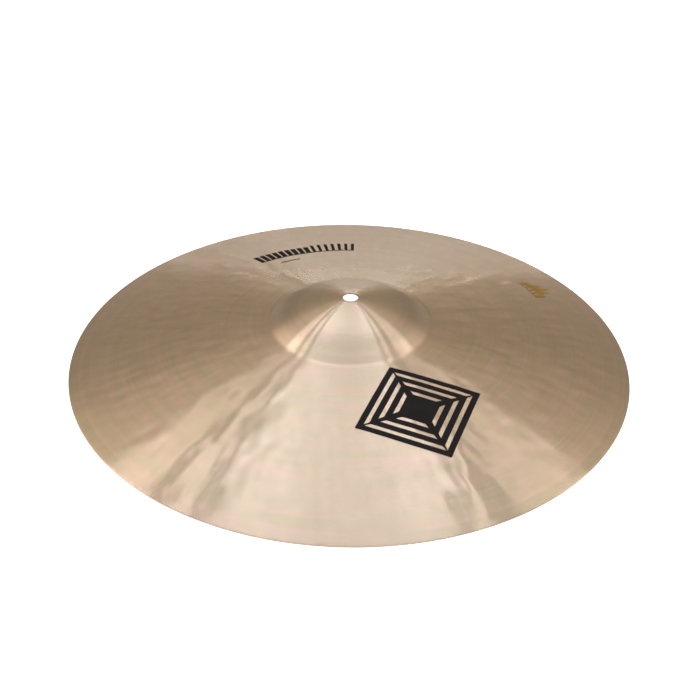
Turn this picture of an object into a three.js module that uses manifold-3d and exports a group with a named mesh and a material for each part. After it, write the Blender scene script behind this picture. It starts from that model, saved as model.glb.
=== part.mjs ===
// A thin 18-inch crash cymbal: one bronze disc with a domed bow, a raised bell and a half-inch
// hole for the stand, and four marks printed on its top.
// Millimetres. +Z is up, along the hole's axis, and the rim's lower edge lies in the plane z = 0.

import * as THREE from "three";
import { mergeVertices } from "three/addons/utils/BufferGeometryUtils.js";
import Module from "manifold-3d";

const wasm = await Module();
wasm.setup();

const degrees = THREE.MathUtils.degToRad;

// ---- The disc ----
const OUTER_RADIUS = 228.6;
const BELL_RADIUS = 66.4; // where the bell meets the bow
const SEAT_RADIUS = 10; // flat ring round the hole, which the stand's felts press on
const HOLE_RADIUS = 6.35;
const BOW_RISE = 27.8; // from the rim to the foot of the bell
const BELL_RISE = 21.6; // from the foot of the bell to the seat
const CREASE_ROUNDING = 8.5; // radius of the hollow where the bell meets the bow
const BELL_THICKNESS = 1.1;
const EDGE_THICKNESS = 0.7; // the bow thins evenly from the bell to this

// ---- The ink ----
const INK_GAP = 0.05; // clearance between the bronze and the ink
const INK_THICKNESS = 0.1;

// ---- How finely the curves are cut into facets ----
const FACETS_ROUND_DISC = 96;
const BELL_STEPS = 6;
const CREASE_STEPS = 3;
const BOW_STEPS = 8;
const DEGREES_PER_FACET = 3; // along a printed bar

// ---- Profile of the disc ----

// The circle centred on the axis that passes through two profile points, [radius, height].
function circleOnAxis([innerRadius, innerHeight], [outerRadius, outerHeight]) {
  const difference = innerRadius ** 2 + innerHeight ** 2 - outerRadius ** 2 - outerHeight ** 2;
  const centre = difference / (2 * (innerHeight - outerHeight));
  return { centre, radius: Math.hypot(innerRadius, innerHeight - centre) };
}

// Points along an arc of the top's profile, between two downward slopes. A hollow arc has its
// centre above the surface.
function profileArc({ centreRadius = 0, centreHeight, bend, hollow = false }, from, to, steps) {
  const side = hollow ? -bend : bend;
  return Array.from({ length: steps + 1 }, (_, step) => {
    const slope = THREE.MathUtils.lerp(from, to, step / steps);
    return {
      radius: centreRadius + side * Math.sin(slope),
      height: centreHeight + side * Math.cos(slope),
      slope,
    };
  });
}

// The top's profile as three arcs, measured from the plane of the rim's upper edge: the bell,
// the hollow crease that meets both neighbours smoothly, and the bow.
function topArcs() {
  const foot = [BELL_RADIUS, BOW_RISE];
  const bell = circleOnAxis([SEAT_RADIUS, BOW_RISE + BELL_RISE], foot);
  const bow = circleOnAxis(foot, [OUTER_RADIUS, 0]);
  const toBell = bell.radius + CREASE_ROUNDING;
  const toBow = bow.radius + CREASE_ROUNDING;
  const centreHeight =
    (toBow ** 2 - toBell ** 2 + bell.centre ** 2 - bow.centre ** 2) /
    (2 * (bell.centre - bow.centre));
  const centreRadius = Math.sqrt(toBell ** 2 - (centreHeight - bell.centre) ** 2);
  const steepest = Math.asin(centreRadius / toBell);
  const bowStart = Math.asin(centreRadius / toBow);
  return {
    bell: profileArc(
      { centreHeight: bell.centre, bend: bell.radius },
      Math.asin(SEAT_RADIUS / bell.radius),
      steepest,
      BELL_STEPS,
    ),
    crease: profileArc(
      { centreRadius, centreHeight, bend: CREASE_ROUNDING, hollow: true },
      steepest,
      bowStart,
      CREASE_STEPS,
    ),
    bow: profileArc(
      { centreHeight: bow.centre, bend: bow.radius },
      bowStart,
      Math.asin(OUTER_RADIUS / bow.radius),
      BOW_STEPS,
    ),
  };
}

function thicknessAt(radius) {
  const outward = (radius - BELL_RADIUS) / (OUTER_RADIUS - BELL_RADIUS);
  return THREE.MathUtils.lerp(BELL_THICKNESS, EDGE_THICKNESS, Math.max(outward, 0));
}

// The point of the underside straight below the surface, square to it.
function underside({ radius, height, slope }) {
  const thickness = thicknessAt(radius);
  return new THREE.Vector2(
    radius - thickness * Math.sin(slope),
    height - thickness * Math.cos(slope),
  );
}

const arcs = topArcs();

function discProfile() {
  const height = arcs.bell[0].height;
  const seat = [HOLE_RADIUS, SEAT_RADIUS].map((radius) => ({ radius, height, slope: 0 }));
  const curved = [...arcs.bell.slice(1), ...arcs.crease.slice(1), ...arcs.bow.slice(1)];
  const top = [...seat, ...curved];
  const topPoints = top.map(({ radius, height }) => new THREE.Vector2(radius, height));
  return [...top.map(underside), ...topPoints.reverse()];
}

// A closed profile turned about the Z axis.
function turned(profile) {
  const closed = [...profile, profile[0].clone()];
  return new THREE.LatheGeometry(closed, FACETS_ROUND_DISC).rotateX(Math.PI / 2);
}

// ---- Joining and cutting ----

function solidOf(geometry) {
  geometry.deleteAttribute("normal");
  geometry.deleteAttribute("uv");
  const merged = mergeVertices(geometry);
  const mesh = new wasm.Mesh({
    numProp: 3,
    vertProperties: merged.attributes.position.array,
    triVerts: Uint32Array.from(merged.index.array),
  });
  return new wasm.Manifold(mesh);
}

function geometryOf(solid) {
  const { vertProperties, triVerts } = solid.getMesh();
  const geometry = new THREE.BufferGeometry();
  geometry.setAttribute("position", new THREE.BufferAttribute(vertProperties, 3));
  geometry.setIndex(new THREE.BufferAttribute(triVerts, 1));
  geometry.computeVertexNormals();
  return geometry;
}

const joined = (solids) => solids.reduce((whole, solid) => whole.add(solid));

// ---- Outlines of the marks, seen from above and cut right up through the disc's height ----

const CUT_HEIGHT = BOW_RISE + BELL_RISE;

function prism(shape, curveSegments = 1) {
  const options = { depth: CUT_HEIGHT, bevelEnabled: false, curveSegments };
  return solidOf(new THREE.ExtrudeGeometry(shape, options));
}

// A bar that follows a circle round the axis, between two azimuths in degrees.
function arcBar(inner, outer, from, to) {
  const shape = new THREE.Shape();
  shape.absarc(0, 0, outer, degrees(from), degrees(to), false);
  shape.absarc(0, 0, inner, degrees(to), degrees(from), true);
  shape.closePath();
  return prism(shape, Math.ceil((to - from) / DEGREES_PER_FACET));
}

// A lozenge with one diagonal along the radius through the given azimuth.
function lozenge(centreRadius, halfAlong, halfAcross, azimuth) {
  const corners = [
    new THREE.Vector2(centreRadius - halfAlong, 0),
    new THREE.Vector2(centreRadius, -halfAcross),
    new THREE.Vector2(centreRadius + halfAlong, 0),
    new THREE.Vector2(centreRadius, halfAcross),
  ];
  return prism(new THREE.Shape(corners)).rotate([0, 0, azimuth]);
}

// The thin skin of ink that lies over the whole bow, a constant gap above its facets.
function inkSkin() {
  const lifted = (lift) =>
    arcs.bow.map(({ radius, height }) => new THREE.Vector2(radius, height + lift));
  const lower = lifted(INK_GAP);
  const upper = lifted(INK_GAP + INK_THICKNESS);
  return solidOf(turned([...lower, ...upper.reverse()]));
}

const skin = inkSkin();
const printed = (outline) => geometryOf(skin.intersect(outline));

// ---- The marks ----

// The large black emblem: lozenge rings one inside another round a solid core, joined by a
// slender four-pointed star along their diagonals.
function emblem() {
  const centre = 122;
  const azimuth = -65;
  const halfAlong = 49;
  const halfAcross = 52;
  const starWaist = 4; // half-width of each arm where the arms cross
  const ringCount = 3;
  const pitch = 0.215; // of the rings, as a share of the outline's size
  const ringWidth = 0.13;
  const scaled = (share) => lozenge(centre, halfAlong * share, halfAcross * share, azimuth);
  const rings = Array.from({ length: ringCount }, (_, i) => {
    const outer = 1 - i * pitch;
    return scaled(outer).subtract(scaled(outer - ringWidth));
  });
  const core = scaled(1 - ringCount * pitch);
  const star = [
    lozenge(centre, halfAlong, starWaist, azimuth),
    lozenge(centre, starWaist, halfAcross, azimuth),
  ];
  return joined([...rings, core, ...star]);
}

// The title line's place, held by plain blocks on an underline: bold ones, then slim ones.
function title() {
  const start = 127; // degrees, at the left when read from in front
  const end = 89;
  const underline = { inner: 135.5, outer: 137.1 };
  const rows = [
    { count: 9, from: start, to: 106, fill: 0.78, outer: 152 },
    { count: 7, from: 105, to: end, fill: 0.5, outer: 155 },
  ];
  const blocks = rows.flatMap(({ count, from, to, fill, outer }) => {
    const gap = ((1 - fill) * (from - to)) / (count - 1);
    const width = (from - to - gap * (count - 1)) / count;
    return Array.from({ length: count }, (_, i) => {
      const left = from - i * (width + gap);
      return arcBar(underline.inner, outer, left - width, left);
    });
  });
  return joined([arcBar(underline.inner, underline.outer, end, start), ...blocks]);
}

// The small line inside the title, as one fine rule.
function smallLine() {
  return arcBar(123.2, 124.8, 112.5, 121);
}

// The gold ornament near the rim: a row of lozenges standing on a rule.
function ornament() {
  const rule = { inner: 178.5, outer: 180.5, from: 22, to: 31.5 };
  const halfAcross = 3.4;
  const heights = [12, 20, 26, 20, 12];
  const step = (rule.to - rule.from) / heights.length;
  const lozenges = heights.map((height, i) =>
    lozenge(rule.inner + height / 2, height / 2, halfAcross, rule.from + (i + 0.5) * step),
  );
  return joined([arcBar(rule.inner, rule.outer, rule.from, rule.to), ...lozenges]);
}

// ---- Materials and assembly ----

const bronze = new THREE.MeshStandardMaterial({ color: 0xc9a878, roughness: 0.32, metalness: 1 });
const blackInk = new THREE.MeshStandardMaterial({ color: 0x17120f, roughness: 0.5, metalness: 0 });
const goldInk = new THREE.MeshStandardMaterial({ color: 0x8a6a32, roughness: 0.45, metalness: 0 });

const pieces = {
  cymbal: [turned(discProfile()), bronze],
  emblem_print: [printed(emblem()), blackInk],
  title_print: [printed(title()), blackInk],
  small_line_print: [printed(smallLine()), blackInk],
  ornament_print: [printed(ornament()), goldInk],
};

const rimSlope = arcs.bow.at(-1).slope;
const crashCymbal = new THREE.Group();
const raised = new THREE.Group();
raised.position.z = EDGE_THICKNESS * Math.cos(rimSlope); // puts the rim's lower edge at z = 0
crashCymbal.add(raised);
for (const [name, [geometry, material]] of Object.entries(pieces)) {
  const mesh = new THREE.Mesh(geometry, material);
  mesh.name = name;
  raised.add(mesh);
}

export default crashCymbal;
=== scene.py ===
import math

import bmesh
import bpy
import numpy as np
from mathutils import Matrix, Vector


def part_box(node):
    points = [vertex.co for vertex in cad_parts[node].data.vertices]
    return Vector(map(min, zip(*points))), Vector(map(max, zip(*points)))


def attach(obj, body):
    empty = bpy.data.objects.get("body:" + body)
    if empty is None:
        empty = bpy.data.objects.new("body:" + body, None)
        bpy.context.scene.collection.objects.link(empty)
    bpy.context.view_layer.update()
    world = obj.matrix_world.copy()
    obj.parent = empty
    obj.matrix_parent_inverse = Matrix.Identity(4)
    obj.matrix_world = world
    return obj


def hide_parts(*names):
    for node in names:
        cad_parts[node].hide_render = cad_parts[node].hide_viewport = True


# The looks of a thin 18-inch crash cymbal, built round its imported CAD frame. Metres; +Z is up
# along the hole's axis, and the rim's lower edge lies in the plane z = 0.

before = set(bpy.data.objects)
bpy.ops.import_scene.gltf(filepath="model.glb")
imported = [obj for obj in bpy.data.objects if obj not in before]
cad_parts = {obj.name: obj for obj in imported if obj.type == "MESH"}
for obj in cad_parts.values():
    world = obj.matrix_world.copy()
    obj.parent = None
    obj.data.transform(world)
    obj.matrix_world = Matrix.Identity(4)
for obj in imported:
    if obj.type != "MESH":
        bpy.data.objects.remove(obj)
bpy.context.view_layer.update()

# ---- The disc, as its CAD solid is driven ----
OUTER_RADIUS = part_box("cymbal")[1].x
BELL_RADIUS = 0.0664  # where the bell meets the bow
SEAT_RADIUS = 0.010  # of the flat ring round the hole
HOLE_RADIUS = 0.00635
BOW_RISE = 0.0278  # from the rim to the foot of the bell
BELL_RISE = 0.0216  # from the foot of the bell to the seat
CREASE_ROUNDING = 0.0085  # radius of the hollow where the bell meets the bow
BELL_THICKNESS = 0.0011
EDGE_THICKNESS = 0.0007  # the bow thins evenly from the bell to this
EDGE_ROUNDING = 0.00012  # of the four sharp corners of the section
CORNER_CUT = 0.29  # share of EDGE_ROUNDING that a corner's middle point moves in along each side

# ---- Mesh fineness of the visual disc ----
SEGMENTS = 448
TOP_STEPS = {"seat": 2, "bell": 22, "crease": 8, "bow": 84}
UNDER_STEPS = {"seat": 1, "bell": 14, "crease": 6, "bow": 62}
SHARP_EDGE = math.radians(40)  # edges that turn more than this are shaded as sharp

# ---- Hammering ----
SEED = 18
DENT_RINGS = np.arange(0.078, 0.224, 0.0095)
DENT_SPACING = 0.0105  # between neighbours in a ring
DENT_DEPTH = 0.00010
DENT_WIDTH = 0.0034  # round the ring
DENT_LENGTH = 0.0060  # along the radius
DENT_REACH = 3.2  # lengths beyond which a dent is taken as flat
RING_SHIFT = (0.3, 0.7)  # each ring's turn beyond the last, in spacings
ANGLE_JITTER = 0.22  # in spacings
RADIUS_JITTER = 0.003
DEPTH_RANGE = (0.4, 1.5)
SIZE_RANGE = (0.8, 1.25)  # of a dent's size and of a wave's length
WAVE_SIZES = [(0.120, 0.00016), (0.070, 0.00010), (0.040, 0.00007), (0.022, 0.00004), (0.011, 0.00002)]
WAVES_PER_SIZE = 5
WAVE_HEIGHT_RANGE = (0.3, 0.6)
WAVES_START = (0.072, 0.090)  # radii between which the waves come in
OUTER_CALM = (0.198, 0.212)  # radii between which the hammering loses OUTER_LOSS of its height
OUTER_LOSS = 0.5
RIM_FLAT = (0.222, 0.2275)  # radii between which the hammering fades out

# ---- Ink ----
INK_EDGE = 0.003  # longest edge of the ink's triangles
INK_CUTS = 6  # most rounds of cutting to get there
INK_LOW = 0.00002
INK_HIGH = 0.00008
SAME_POINT = 1e-7  # points closer than this are joined
TOP_NORMAL = 0.5  # least z of the normal of a face on the ink's top


# ---- Profile of the disc, with heights from the plane of the rim's upper edge ----


def circle_on_axis(inner, outer):
    """Centre height and radius of the circle, centred on the axis, through two (r, z) points."""
    difference = inner[0] ** 2 + inner[1] ** 2 - outer[0] ** 2 - outer[1] ** 2
    centre = difference / (2 * (inner[1] - outer[1]))
    return centre, math.hypot(inner[0], inner[1] - centre)


BELL_CENTRE, BELL_BEND = circle_on_axis((SEAT_RADIUS, BOW_RISE + BELL_RISE), (BELL_RADIUS, BOW_RISE))
BOW_CENTRE, BOW_BEND = circle_on_axis((BELL_RADIUS, BOW_RISE), (OUTER_RADIUS, 0.0))


def crease():
    """The hollow arc that meets the bell and the bow: its centre and the slopes at its ends."""
    to_bell, to_bow = BELL_BEND + CREASE_ROUNDING, BOW_BEND + CREASE_ROUNDING
    height = (to_bow**2 - to_bell**2 + BELL_CENTRE**2 - BOW_CENTRE**2) / (2 * (BELL_CENTRE - BOW_CENTRE))
    radius = math.sqrt(to_bell**2 - (height - BELL_CENTRE) ** 2)
    return radius, height, math.asin(radius / to_bell), math.asin(radius / to_bow)


CREASE_RADIUS, CREASE_HEIGHT, BELL_FOOT_SLOPE, BOW_TOP_SLOPE = crease()
RIM_SLOPE = math.asin(OUTER_RADIUS / BOW_BEND)
BASE_LIFT = EDGE_THICKNESS * math.cos(RIM_SLOPE)


def section(steps):
    """Points (r, z, slope) of the top from the hole to the rim."""
    bell = np.linspace(math.asin(SEAT_RADIUS / BELL_BEND), BELL_FOOT_SLOPE, steps["bell"] + 1)
    hollow = np.linspace(BELL_FOOT_SLOPE, BOW_TOP_SLOPE, steps["crease"] + 1)[1:]
    bow = np.linspace(BOW_TOP_SLOPE, RIM_SLOPE, steps["bow"] + 1)[1:]
    arcs = [
        (BELL_BEND * np.sin(bell), BELL_CENTRE + BELL_BEND * np.cos(bell), bell),
        (
            CREASE_RADIUS - CREASE_ROUNDING * np.sin(hollow),
            CREASE_HEIGHT - CREASE_ROUNDING * np.cos(hollow),
            hollow,
        ),
        (BOW_BEND * np.sin(bow), BOW_CENTRE + BOW_BEND * np.cos(bow), bow),
    ]
    seat = np.linspace(HOLE_RADIUS, SEAT_RADIUS, steps["seat"] + 1)[:-1]
    flat = (seat, np.full_like(seat, BOW_RISE + BELL_RISE), np.zeros_like(seat))
    return np.concatenate([np.stack(part, 1) for part in [flat, *arcs]])


def thickness_at(radius):
    outward = (radius - BELL_RADIUS) / (OUTER_RADIUS - BELL_RADIUS)
    return BELL_THICKNESS + (EDGE_THICKNESS - BELL_THICKNESS) * np.clip(outward, 0, 1)


def under(points):
    """The underside's points, square below the top's."""
    radius, height, slope = points.T
    thick = thickness_at(radius)
    return np.stack([radius - thick * np.sin(slope), height - thick * np.cos(slope), slope], 1)


# ---- Hammer marks: shallow dents in rings over the bow, on a gently uneven sheet ----


def smoothstep(low, high, value):
    t = np.clip((value - low) / (high - low), 0, 1)
    return t * t * (3 - 2 * t)


def make_dents():
    """Rows of radius, angle, depth and size."""
    rng = np.random.default_rng(SEED)
    rows = []
    turn = 0.0
    for ring in DENT_RINGS:
        count = round(2 * math.pi * ring / DENT_SPACING)
        turn += rng.uniform(*RING_SHIFT)
        angle = (np.arange(count) + turn + rng.normal(0, ANGLE_JITTER, count)) * 2 * math.pi / count
        radius = ring + rng.normal(0, RADIUS_JITTER, count)
        depth = DENT_DEPTH * rng.uniform(*DEPTH_RANGE, count)
        size = rng.uniform(*SIZE_RANGE, count)
        rows.append(np.stack([radius, angle, depth, size], 1))
    return np.concatenate(rows)


def make_waves():
    """Long low waves that the hammering leaves: wave vector, phase and height of each."""
    rng = np.random.default_rng(SEED + 1)
    waves = []
    for length, height in WAVE_SIZES:
        for _ in range(WAVES_PER_SIZE):
            heading = rng.uniform(0, 2 * math.pi)
            stretch = 2 * math.pi / (length * rng.uniform(*SIZE_RANGE))
            vector = (stretch * math.cos(heading), stretch * math.sin(heading))
            waves.append((*vector, rng.uniform(0, 2 * math.pi), height * rng.uniform(*WAVE_HEIGHT_RANGE)))
    return waves


DENTS = make_dents()
WAVES = make_waves()


def hammering(radius, angle):
    """Height that the hammering adds, at arrays of polar positions."""
    x, y = radius * np.cos(angle), radius * np.sin(angle)
    height = np.zeros_like(x)
    for across, along, phase, amount in WAVES:
        height += amount * np.sin(across * x + along * y + phase)
    height *= smoothstep(*WAVES_START, radius)
    for ring, turn, depth, size in DENTS:
        outward = radius - ring
        near = np.abs(outward) < DENT_REACH * DENT_LENGTH * size
        off = (angle[near] - turn + math.pi) % (2 * math.pi) - math.pi
        square = (outward[near] / (DENT_LENGTH * size)) ** 2 + (off * ring / (DENT_WIDTH * size)) ** 2
        height[near] -= depth * np.exp(-0.5 * square)
    calm = 1 - OUTER_LOSS * smoothstep(*OUTER_CALM, radius)
    return height * calm * (1 - smoothstep(*RIM_FLAT, radius))


def bow_height(radius):
    return BOW_CENTRE + np.sqrt(BOW_BEND**2 - radius**2) + BASE_LIFT


# ---- Meshes ----


def mesh_object(name, vertices, faces):
    mesh = bpy.data.meshes.new(name)
    mesh.from_pydata(np.asarray(vertices).tolist(), [], faces)
    mesh.update()
    piece = bpy.data.objects.new(name, mesh)
    bpy.context.scene.collection.objects.link(piece)
    return piece


def shade_smooth(piece):
    piece.data.polygons.foreach_set("use_smooth", [True] * len(piece.data.polygons))
    piece.data.set_sharp_from_angle(angle=SHARP_EDGE)


def rounded_corner(before, corner, after):
    """Three points that round a corner of the section."""
    back = (before - corner) / np.linalg.norm(before - corner)
    on = (after - corner) / np.linalg.norm(after - corner)
    middle = corner + (back + on) * EDGE_ROUNDING * CORNER_CUT
    return [corner + back * EDGE_ROUNDING, middle, corner + on * EDGE_ROUNDING]


def closed_profile():
    """The section's loop, (r, z), with the radius of the top point that each one belongs to."""
    above, below = section(TOP_STEPS), section(UNDER_STEPS)
    top, low = above[:, :2], under(below)[:, :2]
    at_hole, at_rim = [HOLE_RADIUS] * 3, [OUTER_RADIUS] * 3
    parts = [
        (rounded_corner(low[0], top[0], top[1]), at_hole),
        (top[1:-1], above[1:-1, 0]),
        (rounded_corner(top[-2], top[-1], low[-1]), at_rim),
        (rounded_corner(top[-1], low[-1], low[-2]), at_rim),
        (low[1:-1][::-1], below[1:-1, 0][::-1]),
        (rounded_corner(low[1], low[0], top[0]), at_hole),
    ]
    loops, homes = zip(*parts)
    return np.concatenate(loops), np.concatenate(homes)


def make_disc():
    loop, home = closed_profile()
    count = len(loop)
    angle = np.linspace(0, 2 * math.pi, SEGMENTS, endpoint=False)
    turn, radius = np.meshgrid(angle, loop[:, 0], indexing="ij")
    _, homes = np.meshgrid(angle, home, indexing="ij")
    height = loop[:, 1] + BASE_LIFT + hammering(homes, turn)
    vertices = np.stack([radius * np.cos(turn), radius * np.sin(turn), height], -1).reshape(-1, 3)
    faces = []
    for i in range(SEGMENTS):
        here, there = i * count, (i + 1) % SEGMENTS * count
        for j in range(count):
            k = (j + 1) % count
            faces.append((here + j, here + k, there + k, there + j))
    piece = mesh_object("bronze_disc", vertices, faces)
    shade_smooth(piece)
    return piece


def fine_outline(node):
    """The top faces of a CAD mark, cut until no edge is longer than INK_EDGE."""
    work = bmesh.new()
    work.from_mesh(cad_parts[node].data)
    bmesh.ops.remove_doubles(work, verts=work.verts, dist=SAME_POINT)
    others = [face for face in work.faces if face.normal.z < TOP_NORMAL]
    bmesh.ops.delete(work, geom=others, context="FACES")
    bmesh.ops.triangulate(work, faces=work.faces)
    for _ in range(INK_CUTS):
        long = [edge for edge in work.edges if edge.calc_length() > INK_EDGE]
        if not long:
            break
        bmesh.ops.subdivide_edges(work, edges=long, cuts=1)
        bmesh.ops.triangulate(work, faces=work.faces)
    work.verts.index_update()
    return work


def make_ink(node, name):
    """The CAD mark, laid on the hammered bow as a thin closed skin."""
    work = fine_outline(node)
    flat = np.array([vertex.co[:2] for vertex in work.verts])
    radius, angle = np.hypot(*flat.T), np.arctan2(flat[:, 1], flat[:, 0])
    height = bow_height(radius) + hammering(radius, angle)
    lower = np.column_stack([flat, height + INK_LOW])
    upper = np.column_stack([flat, height + INK_HIGH])
    top_faces = [tuple(vertex.index for vertex in face.verts) for face in work.faces]
    count = len(flat)
    faces = top_faces + [tuple(i + count for i in reversed(face)) for face in top_faces]
    for edge in work.edges:
        if len(edge.link_faces) == 1:
            loop = edge.link_loops[0]
            a, b = loop.vert.index, loop.link_loop_next.vert.index
            faces.append((b, a, a + count, b + count))
    work.free()
    piece = mesh_object(name, np.concatenate([upper, lower]), faces)
    shade_smooth(piece)
    return piece


# ---- Material helpers ----


def new_material(name):
    material = bpy.data.materials.new(name)
    material.use_nodes = True
    material.node_tree.nodes.clear()
    return material, Graph(material.node_tree)


class Graph:
    """A short way to add nodes and link them."""

    def __init__(self, tree):
        self.tree = tree

    def node(self, kind, inputs=None, **settings):
        node = self.tree.nodes.new(kind)
        for key, value in settings.items():
            setattr(node, key, value)
        for key, value in (inputs or {}).items():
            if isinstance(value, bpy.types.NodeSocket):
                self.tree.links.new(value, node.inputs[key])
            else:
                node.inputs[key].default_value = value
        return node

    def math(self, operation, *values):
        return self.node("ShaderNodeMath", dict(enumerate(values)), operation=operation).outputs[0]

    def vector(self, operation, *values, out=0):
        inputs = dict(enumerate(values))
        return self.node("ShaderNodeVectorMath", inputs, operation=operation).outputs[out]

    def combine(self, x, y, z):
        return self.node("ShaderNodeCombineXYZ", {0: x, 1: y, 2: z}).outputs[0]

    def separate(self, vector):
        return self.node("ShaderNodeSeparateXYZ", {0: vector}).outputs

    def remap(self, value, low, high, to_low=0.0, to_high=1.0):
        inputs = {"Value": value, 1: low, 2: high, 3: to_low, 4: to_high}
        return self.node("ShaderNodeMapRange", inputs, interpolation_type="SMOOTHSTEP").outputs[0]

    def mix(self, factor, first, second):
        inputs = {"Factor": factor, 6: first, 7: second}
        return self.node("ShaderNodeMix", inputs, data_type="RGBA").outputs[2]

    def noise(self, vector, scale, detail=3, roughness=0.6):
        inputs = {"Vector": vector, "Scale": scale, "Detail": detail, "Roughness": roughness}
        return self.node("ShaderNodeTexNoise", inputs).outputs[0]

    def noise_along(self, position, scale, detail=2, roughness=0.6):
        inputs = {"W": position, "Scale": scale, "Detail": detail, "Roughness": roughness}
        return self.node("ShaderNodeTexNoise", inputs, noise_dimensions="1D").outputs[0]

    def place(self):
        return self.node("ShaderNodeTexCoord").outputs["Object"]

    def output(self, shader):
        self.node("ShaderNodeOutputMaterial", {"Surface": shader})


NOISE_SPAN = (0.3, 0.7)  # the values that most of a noise lies between
NOISE_MIDDLE = 0.5


# ---- Bronze ----

BRONZE = (0.80, 0.635, 0.46, 1)
BRONZE_PINK = (0.83, 0.61, 0.50, 1)
BRONZE_GREEN = (0.76, 0.650, 0.46, 1)
TINT_SHARE = 0.55  # of pink and green in the colour
BLOTCH_SHARE = 0.22  # most of the green that the blotches add

# How fine the patterns are, in noise cells per metre, or per radian for DASHES_ROUND
BROAD_RINGS = 130.0
GROOVES = 900
STREAKS = 330
BLOTCHES = 45
DASHES_OUT = 50.0
DASHES_ROUND = 26.0
DASHES_START = (0.068, 0.085)  # radii between which the dashes come in

# Brightness that each pattern gives: its gain and base
GROOVE_SHADE = (0.08, 0.96)
STREAK_SHADE = (0.05, 0.975)
# painted shade and highlight: the light and dark dashes that the hammer marks reflect
DASH_PAINTED_SHADE = (0.18, 1.0)
# painted highlight on a ring at the bell's foot
FOOT_PAINTED_HIGHLIGHT_GAIN = (0.07, 1.0)
# painted shade on a ring at the bell's waist
WAIST_PAINTED_SHADE_GAIN = (-0.10, 1.0)

# Brightness between two values of the broad rings, and painted shade between two radii by the hole's wall
BROAD_SHADE = (0.25, 0.75, 0.975, 1.025)
HOLE_WALL_PAINTED_SHADE = (HOLE_RADIUS + 0.0001, HOLE_RADIUS + 0.0005, 0.35, 1.0)

# The bell's foot, a ring of painted highlight, and its waist, a ring of painted shade: the radii between
# which each comes in, and those where it ends
FOOT_PAINTED_HIGHLIGHT = ((0.052, 0.063), (0.0635, 0.068))
WAIST_PAINTED_SHADE = ((0.036, 0.050), (0.050, 0.060))

DASH_RELIEF = 5.0  # heights beside the fine grooves'
BROAD_RELIEF = 5.0
KEEN_SHARE = 0.75  # of the sharper reflection


def bronze_patterns(g, place, radius, outward):
    """Broad rings, fine grooves, streaks, blotches and short radial dashes, each as a value."""
    turn = g.separate(outward)
    rings = g.combine(g.math("MULTIPLY", radius, BROAD_RINGS), turn[0], turn[1])
    round_x, round_y = (g.math("MULTIPLY", turn[axis], DASHES_ROUND) for axis in (0, 1))
    spokes = g.combine(round_x, round_y, g.math("MULTIPLY", radius, DASHES_OUT))
    centred = g.math("SUBTRACT", g.noise(spokes, 1.0), NOISE_MIDDLE)
    return {
        "broad": g.noise(rings, 1.0),
        "grooves": g.noise_along(radius, GROOVES),
        "streaks": g.noise_along(radius, STREAKS),
        "blotches": g.noise(place, BLOTCHES),
        "dashes": g.math("MULTIPLY", centred, g.remap(radius, *DASHES_START)),
    }


def band(g, radius, start, end):
    """1 on a ring of the disc, 0 off it, with soft edges between the two pairs of radii."""
    return g.math("MULTIPLY", g.remap(radius, *start), g.remap(radius, *end, 1.0, 0.0))


def bronze_colour(g, patterns, radius):
    tint = g.mix(g.remap(patterns["broad"], *NOISE_SPAN), BRONZE_GREEN, BRONZE_PINK)
    colour = g.mix(TINT_SHARE, BRONZE, tint)
    blotches = g.remap(patterns["blotches"], *NOISE_SPAN, 0.0, BLOTCH_SHARE)
    colour = g.mix(blotches, colour, BRONZE_GREEN)
    shade, *others = [
        g.math("MULTIPLY_ADD", patterns["grooves"], *GROOVE_SHADE),
        g.math("MULTIPLY_ADD", patterns["streaks"], *STREAK_SHADE),
        g.remap(patterns["broad"], *BROAD_SHADE),
        # painted shade and highlight of the hammer marks
        g.math("MULTIPLY_ADD", patterns["dashes"], *DASH_PAINTED_SHADE),
        # painted highlight at the bell's foot
        g.math("MULTIPLY_ADD", band(g, radius, *FOOT_PAINTED_HIGHLIGHT), *FOOT_PAINTED_HIGHLIGHT_GAIN),
        # painted shade at the bell's waist
        g.math("MULTIPLY_ADD", band(g, radius, *WAIST_PAINTED_SHADE), *WAIST_PAINTED_SHADE_GAIN),
        # painted shade on the hole's wall and its rounded edges
        g.remap(radius, *HOLE_WALL_PAINTED_SHADE),
    ]
    for other in others:
        shade = g.math("MULTIPLY", shade, other)
    return g.node("ShaderNodeVectorMath", {0: colour, "Scale": shade}, operation="SCALE").outputs[0]


def bronze_normal(g, patterns):
    fine = g.math("MULTIPLY_ADD", patterns["broad"], BROAD_RELIEF, patterns["grooves"])
    relief = g.math("MULTIPLY_ADD", patterns["dashes"], DASH_RELIEF, fine)
    return g.node("ShaderNodeBump", {"Strength": 0.25, "Distance": 0.00003, "Height": relief}).outputs[0]


def bronze_material():
    """Lathed bronze: a soft and a keen reflection, both drawn out across the lathe's grooves."""
    material, g = new_material("lathed_bronze")
    place = g.place()
    flat = g.vector("MULTIPLY", place, (1, 1, 0))
    radius = g.vector("LENGTH", flat, out="Value")
    outward = g.vector("NORMALIZE", flat)
    patterns = bronze_patterns(g, place, radius, outward)
    colour = bronze_colour(g, patterns, radius)
    lathed = {
        "Tangent": g.vector("CROSS_PRODUCT", (0, 0, 1), outward),
        "Normal": bronze_normal(g, patterns),
    }
    soft = {
        "Base Color": colour,
        "Metallic": 1.0,
        "Roughness": 0.42,
        "Anisotropic": 0.8,
        "Anisotropic Rotation": 0.25,
    }
    keen = {"Color": colour, "Roughness": 0.24, "Anisotropy": 0.835}
    soft_shader = g.node("ShaderNodeBsdfPrincipled", {**soft, **lathed})
    keen_shader = g.node("ShaderNodeBsdfAnisotropic", {**keen, **lathed}, distribution="GGX")
    shares = {"Fac": KEEN_SHARE, 1: soft_shader.outputs[0], 2: keen_shader.outputs[0]}
    g.output(g.node("ShaderNodeMixShader", shares).outputs[0])
    return material


# ---- Ink film ----

INK_GRAIN = 900  # noise cells per metre
INK_PATCHES = 70
INK_MIX = (0.15, 0.45)  # values of grain times patches between which dark turns to light
GLOSS_RANGE = (-0.06, 0.08)  # of the roughness, beside its middle value


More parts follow.
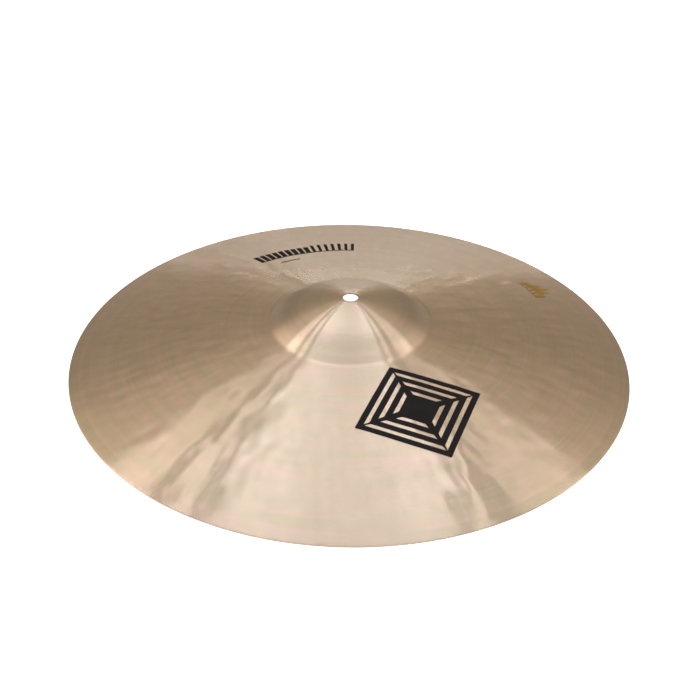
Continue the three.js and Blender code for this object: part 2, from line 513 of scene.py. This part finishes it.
def ink_material(name, dark, light, roughness):
    material, g = new_material(name)
    place = g.place()
    grain = g.noise(place, INK_GRAIN)
    patch = g.noise(place, INK_PATCHES, 2, 0.5)
    low, high = (roughness + change for change in GLOSS_RANGE)
    bump = g.node("ShaderNodeBump", {"Strength": 0.2, "Distance": 0.00002, "Height": grain})
    film = {
        "Base Color": g.mix(g.remap(g.math("MULTIPLY", grain, patch), *INK_MIX), dark, light),
        "Roughness": g.remap(grain, *NOISE_SPAN, low, high),
        "Specular IOR Level": 0.18,
        "Normal": bump.outputs[0],
    }
    g.output(g.node("ShaderNodeBsdfPrincipled", film).outputs[0])
    return material


# ---- Stage ----

FLOOR_HALF = 6.0
FLOOR_DROP = 0.00005  # below the rim, so that the two don't share a plane


def make_floor():
    size = FLOOR_HALF
    corners = [(-size, -size, 0), (size, -size, 0), (size, size, 0), (-size, size, 0)]
    floor = mesh_object("floor", corners, [(0, 1, 2, 3)])
    floor.location.z = -FLOOR_DROP
    floor.visible_glossy = False
    material, g = new_material("pale_floor")
    pale = {
        "Base Color": (0.8, 0.8, 0.8, 1),
        "Roughness": 0.9,
        "Emission Color": (1, 1, 1, 1),
        "Emission Strength": 1.0,
    }
    g.output(g.node("ShaderNodeBsdfPrincipled", pale).outputs[0])
    floor.data.materials.append(material)


PANEL_HEIGHT = 1.5
PANEL_DEPTH = 0.18
PANEL_TAPER = 0.9  # the sides' narrowing per metre away, which keeps their reflections straight
PANEL_MIDDLE = (0.05, 0.40, 0.80, 1.12)  # two distances aside, and the light's level at each
PANEL_ENDS = (1.3, 3.2, 1.0, 0.12)  # the same for the fade towards the far ends
FRONT = -0.40  # y of the single panel before the main row
BANK = 0.45  # y of the main row of panels
REAR = 1.05  # y of the single panel behind it
COOL_LIGHT = (0.91, 0.985, 1.13)
FAIR_LIGHT = (0.95, 0.98, 1.02)
WARM_LIGHT = (0.98, 0.965, 0.97)


def panel_light(name, strength, colour):
    """Light that is a little dimmer near x = 0 and fades towards the far ends."""
    material, g = new_material(name)
    aside = g.math("ABSOLUTE", g.separate(g.place())[0])
    near, far, least, most = PANEL_MIDDLE
    level = g.remap(aside, near, far, least * strength, most * strength)
    level = g.math("MULTIPLY", level, g.remap(aside, *PANEL_ENDS))
    g.output(g.node("ShaderNodeEmission", {"Color": (*colour, 1), "Strength": level}).outputs[0])
    return material


def panel(name, middle, left, right, strength, colour=COOL_LIGHT):
    """A light panel overhead at y = middle, between two x."""
    rows = [middle - PANEL_DEPTH / 2, middle + PANEL_DEPTH / 2]
    wide, narrow = (1 - PANEL_TAPER * (y - middle) for y in rows)
    corners = [
        (left * wide, rows[0], PANEL_HEIGHT),
        (left * narrow, rows[1], PANEL_HEIGHT),
        (right * narrow, rows[1], PANEL_HEIGHT),
        (right * wide, rows[0], PANEL_HEIGHT),
    ]
    piece = mesh_object(name, corners, [(0, 1, 2, 3)])
    piece.visible_camera = False
    piece.data.materials.append(panel_light(name, strength, colour))


def make_lights():
    """Panels whose gaps leave the dark lines beside the bright fan."""
    panel("panel_far_left", BANK, -4.50, -1.010, 4.4, WARM_LIGHT)
    panel("panel_left", BANK, -0.86, -0.68, 5.6, FAIR_LIGHT)
    panel("panel_centre", BANK, -0.60, 0.44, 4.9)
    panel("panel_right", BANK, 0.515, 0.63, 6.0, FAIR_LIGHT)
    panel("panel_far_right", BANK, 0.79, 3.00, 3.4, WARM_LIGHT)
    panel("panel_rear", REAR, -0.36, 0.29, 4.7)
    panel("panel_front", FRONT, -1.45, 0.95, 1.2)


# ---- World. A tuple of four is two values and the level that each gives ----

SKY_RISE = (0.05, 0.95, 0.22, 0.55)  # by z of the direction
OVERHEAD = (0, 0.25, 0.968)
OVERHEAD_GLOW = (0.84, 0.96, 0.0, 0.3)  # by nearness to OVERHEAD
SIDES = [((-0.95, 0.15, 0.27), 1.0), ((0.95, 0.15, 0.27), 0.55)]  # direction and level of each glow
SIDE_GLOW = (0.80, 1.0)  # by nearness to a side's direction
GROUND_ASIDE = (0.2, 0.5, 0.25, 0.8)  # by x, to either side
GROUND_FRONT = (-0.3, 0.3, 0.9, 0.2)  # by y
HORIZON = (-0.02, 0.02, 1.0, 0.0)  # by z, all ground below and all sky above
WARM_FROM = (0.02, 0.2)  # by z
WARM_TO = (0.6, 0.9, 1.0, 0.2)  # by z
COOL_WORLD = (0.94, 0.95, 1.0, 1)
WARM_WORLD = (1, 0.87, 0.72, 1)


def world_strength(g, direction, axes):
    """A sky that glows overhead and at the sides, over a ground that is dark behind the disc."""
    glow = g.remap(g.vector("DOT_PRODUCT", direction, OVERHEAD, out="Value"), *OVERHEAD_GLOW)
    sky = g.math("ADD", g.remap(axes[2], *SKY_RISE), glow)
    for side, level in SIDES:
        facing = g.vector("DOT_PRODUCT", direction, side, out="Value")
        sky = g.math("ADD", sky, g.remap(facing, *SIDE_GLOW, 0.0, level))
    aside = g.remap(g.math("ABSOLUTE", axes[0]), *GROUND_ASIDE)
    ground = g.math("MAXIMUM", aside, g.remap(axes[1], *GROUND_FRONT))
    below = g.remap(axes[2], *HORIZON)
    return g.math("MULTIPLY_ADD", g.math("SUBTRACT", ground, sky), below, sky)


def make_world():
    """A dim studio round the disc, which the camera itself sees as plain white."""
    world = bpy.data.worlds.new("studio")
    bpy.context.scene.world = world
    world.use_nodes = True
    world.node_tree.nodes.clear()
    g = Graph(world.node_tree)
    direction = g.node("ShaderNodeTexCoord").outputs["Generated"]
    axes = g.separate(direction)
    warmth = g.math("MULTIPLY", g.remap(axes[2], *WARM_FROM), g.remap(axes[2], *WARM_TO))
    colour = g.mix(warmth, COOL_WORLD, WARM_WORLD)
    strength = world_strength(g, direction, axes)
    dim = g.node("ShaderNodeBackground", {"Color": colour, "Strength": strength})
    white = g.node("ShaderNodeBackground", {"Color": (1, 1, 1, 1), "Strength": 1.0})
    camera = g.node("ShaderNodeLightPath").outputs["Is Camera Ray"]
    both = g.node("ShaderNodeMixShader", {"Fac": camera, 1: dim.outputs[0], 2: white.outputs[0]})
    g.node("ShaderNodeOutputWorld", {"Surface": both.outputs[0]})


# ---- Camera. The distance is chosen, because the outlines fit almost as well from nearer or
# farther. The angles and the lens are the ones that fit the outlines at that distance ----

CAMERA_DISTANCE = 0.8001
CAMERA_ELEVATION = math.radians(33.90)
PAN, TILT, ROLL = (math.radians(value) for value in (0.022, 0.135, -0.940))
SENSOR_WIDTH = 36  # mm
FOCAL_LENGTH = 49.11  # mm


def make_camera():
    """In front and above, aimed almost at the middle of the rim's upper edge."""
    away, up = math.cos(CAMERA_ELEVATION), math.sin(CAMERA_ELEVATION)
    place = Vector((0, -CAMERA_DISTANCE * away, CAMERA_DISTANCE * up))
    level = Matrix.Rotation(math.pi / 2 - CAMERA_ELEVATION, 3, "X")
    turned = Matrix.Rotation(ROLL, 3, "Z") @ Matrix.Rotation(TILT, 3, "X") @ Matrix.Rotation(PAN, 3, "Y")
    data = bpy.data.cameras.new("camera")
    data.sensor_width = SENSOR_WIDTH
    data.lens = FOCAL_LENGTH
    camera = bpy.data.objects.new("camera", data)
    bpy.context.scene.collection.objects.link(camera)
    turn = (level @ turned.transposed()).to_4x4()
    camera.matrix_world = Matrix.Translation(place + Vector((0, 0, BASE_LIFT))) @ turn
    bpy.context.scene.camera = camera


# ---- Assembly ----


def add_piece(piece, node, material):
    piece.data.materials.append(material)
    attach(piece, "root")
    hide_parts(node)


make_camera()
make_world()
make_lights()
make_floor()

black = ink_material("black_ink_film", (0.006, 0.004, 0.004, 1), (0.013, 0.009, 0.008, 1), 0.55)
gold = ink_material("gold_ink_film", (0.30, 0.17, 0.035, 1), (0.44, 0.26, 0.07, 1), 0.5)
add_piece(make_disc(), "cymbal", bronze_material())
add_piece(make_ink("emblem_print", "emblem_ink"), "emblem_print", black)
add_piece(make_ink("title_print", "title_ink"), "title_print", black)
add_piece(make_ink("small_line_print", "small_line_ink"), "small_line_print", black)
add_piece(make_ink("ornament_print", "ornament_ink"), "ornament_print", gold)

bpy.context.scene.view_settings.view_transform = "Standard"
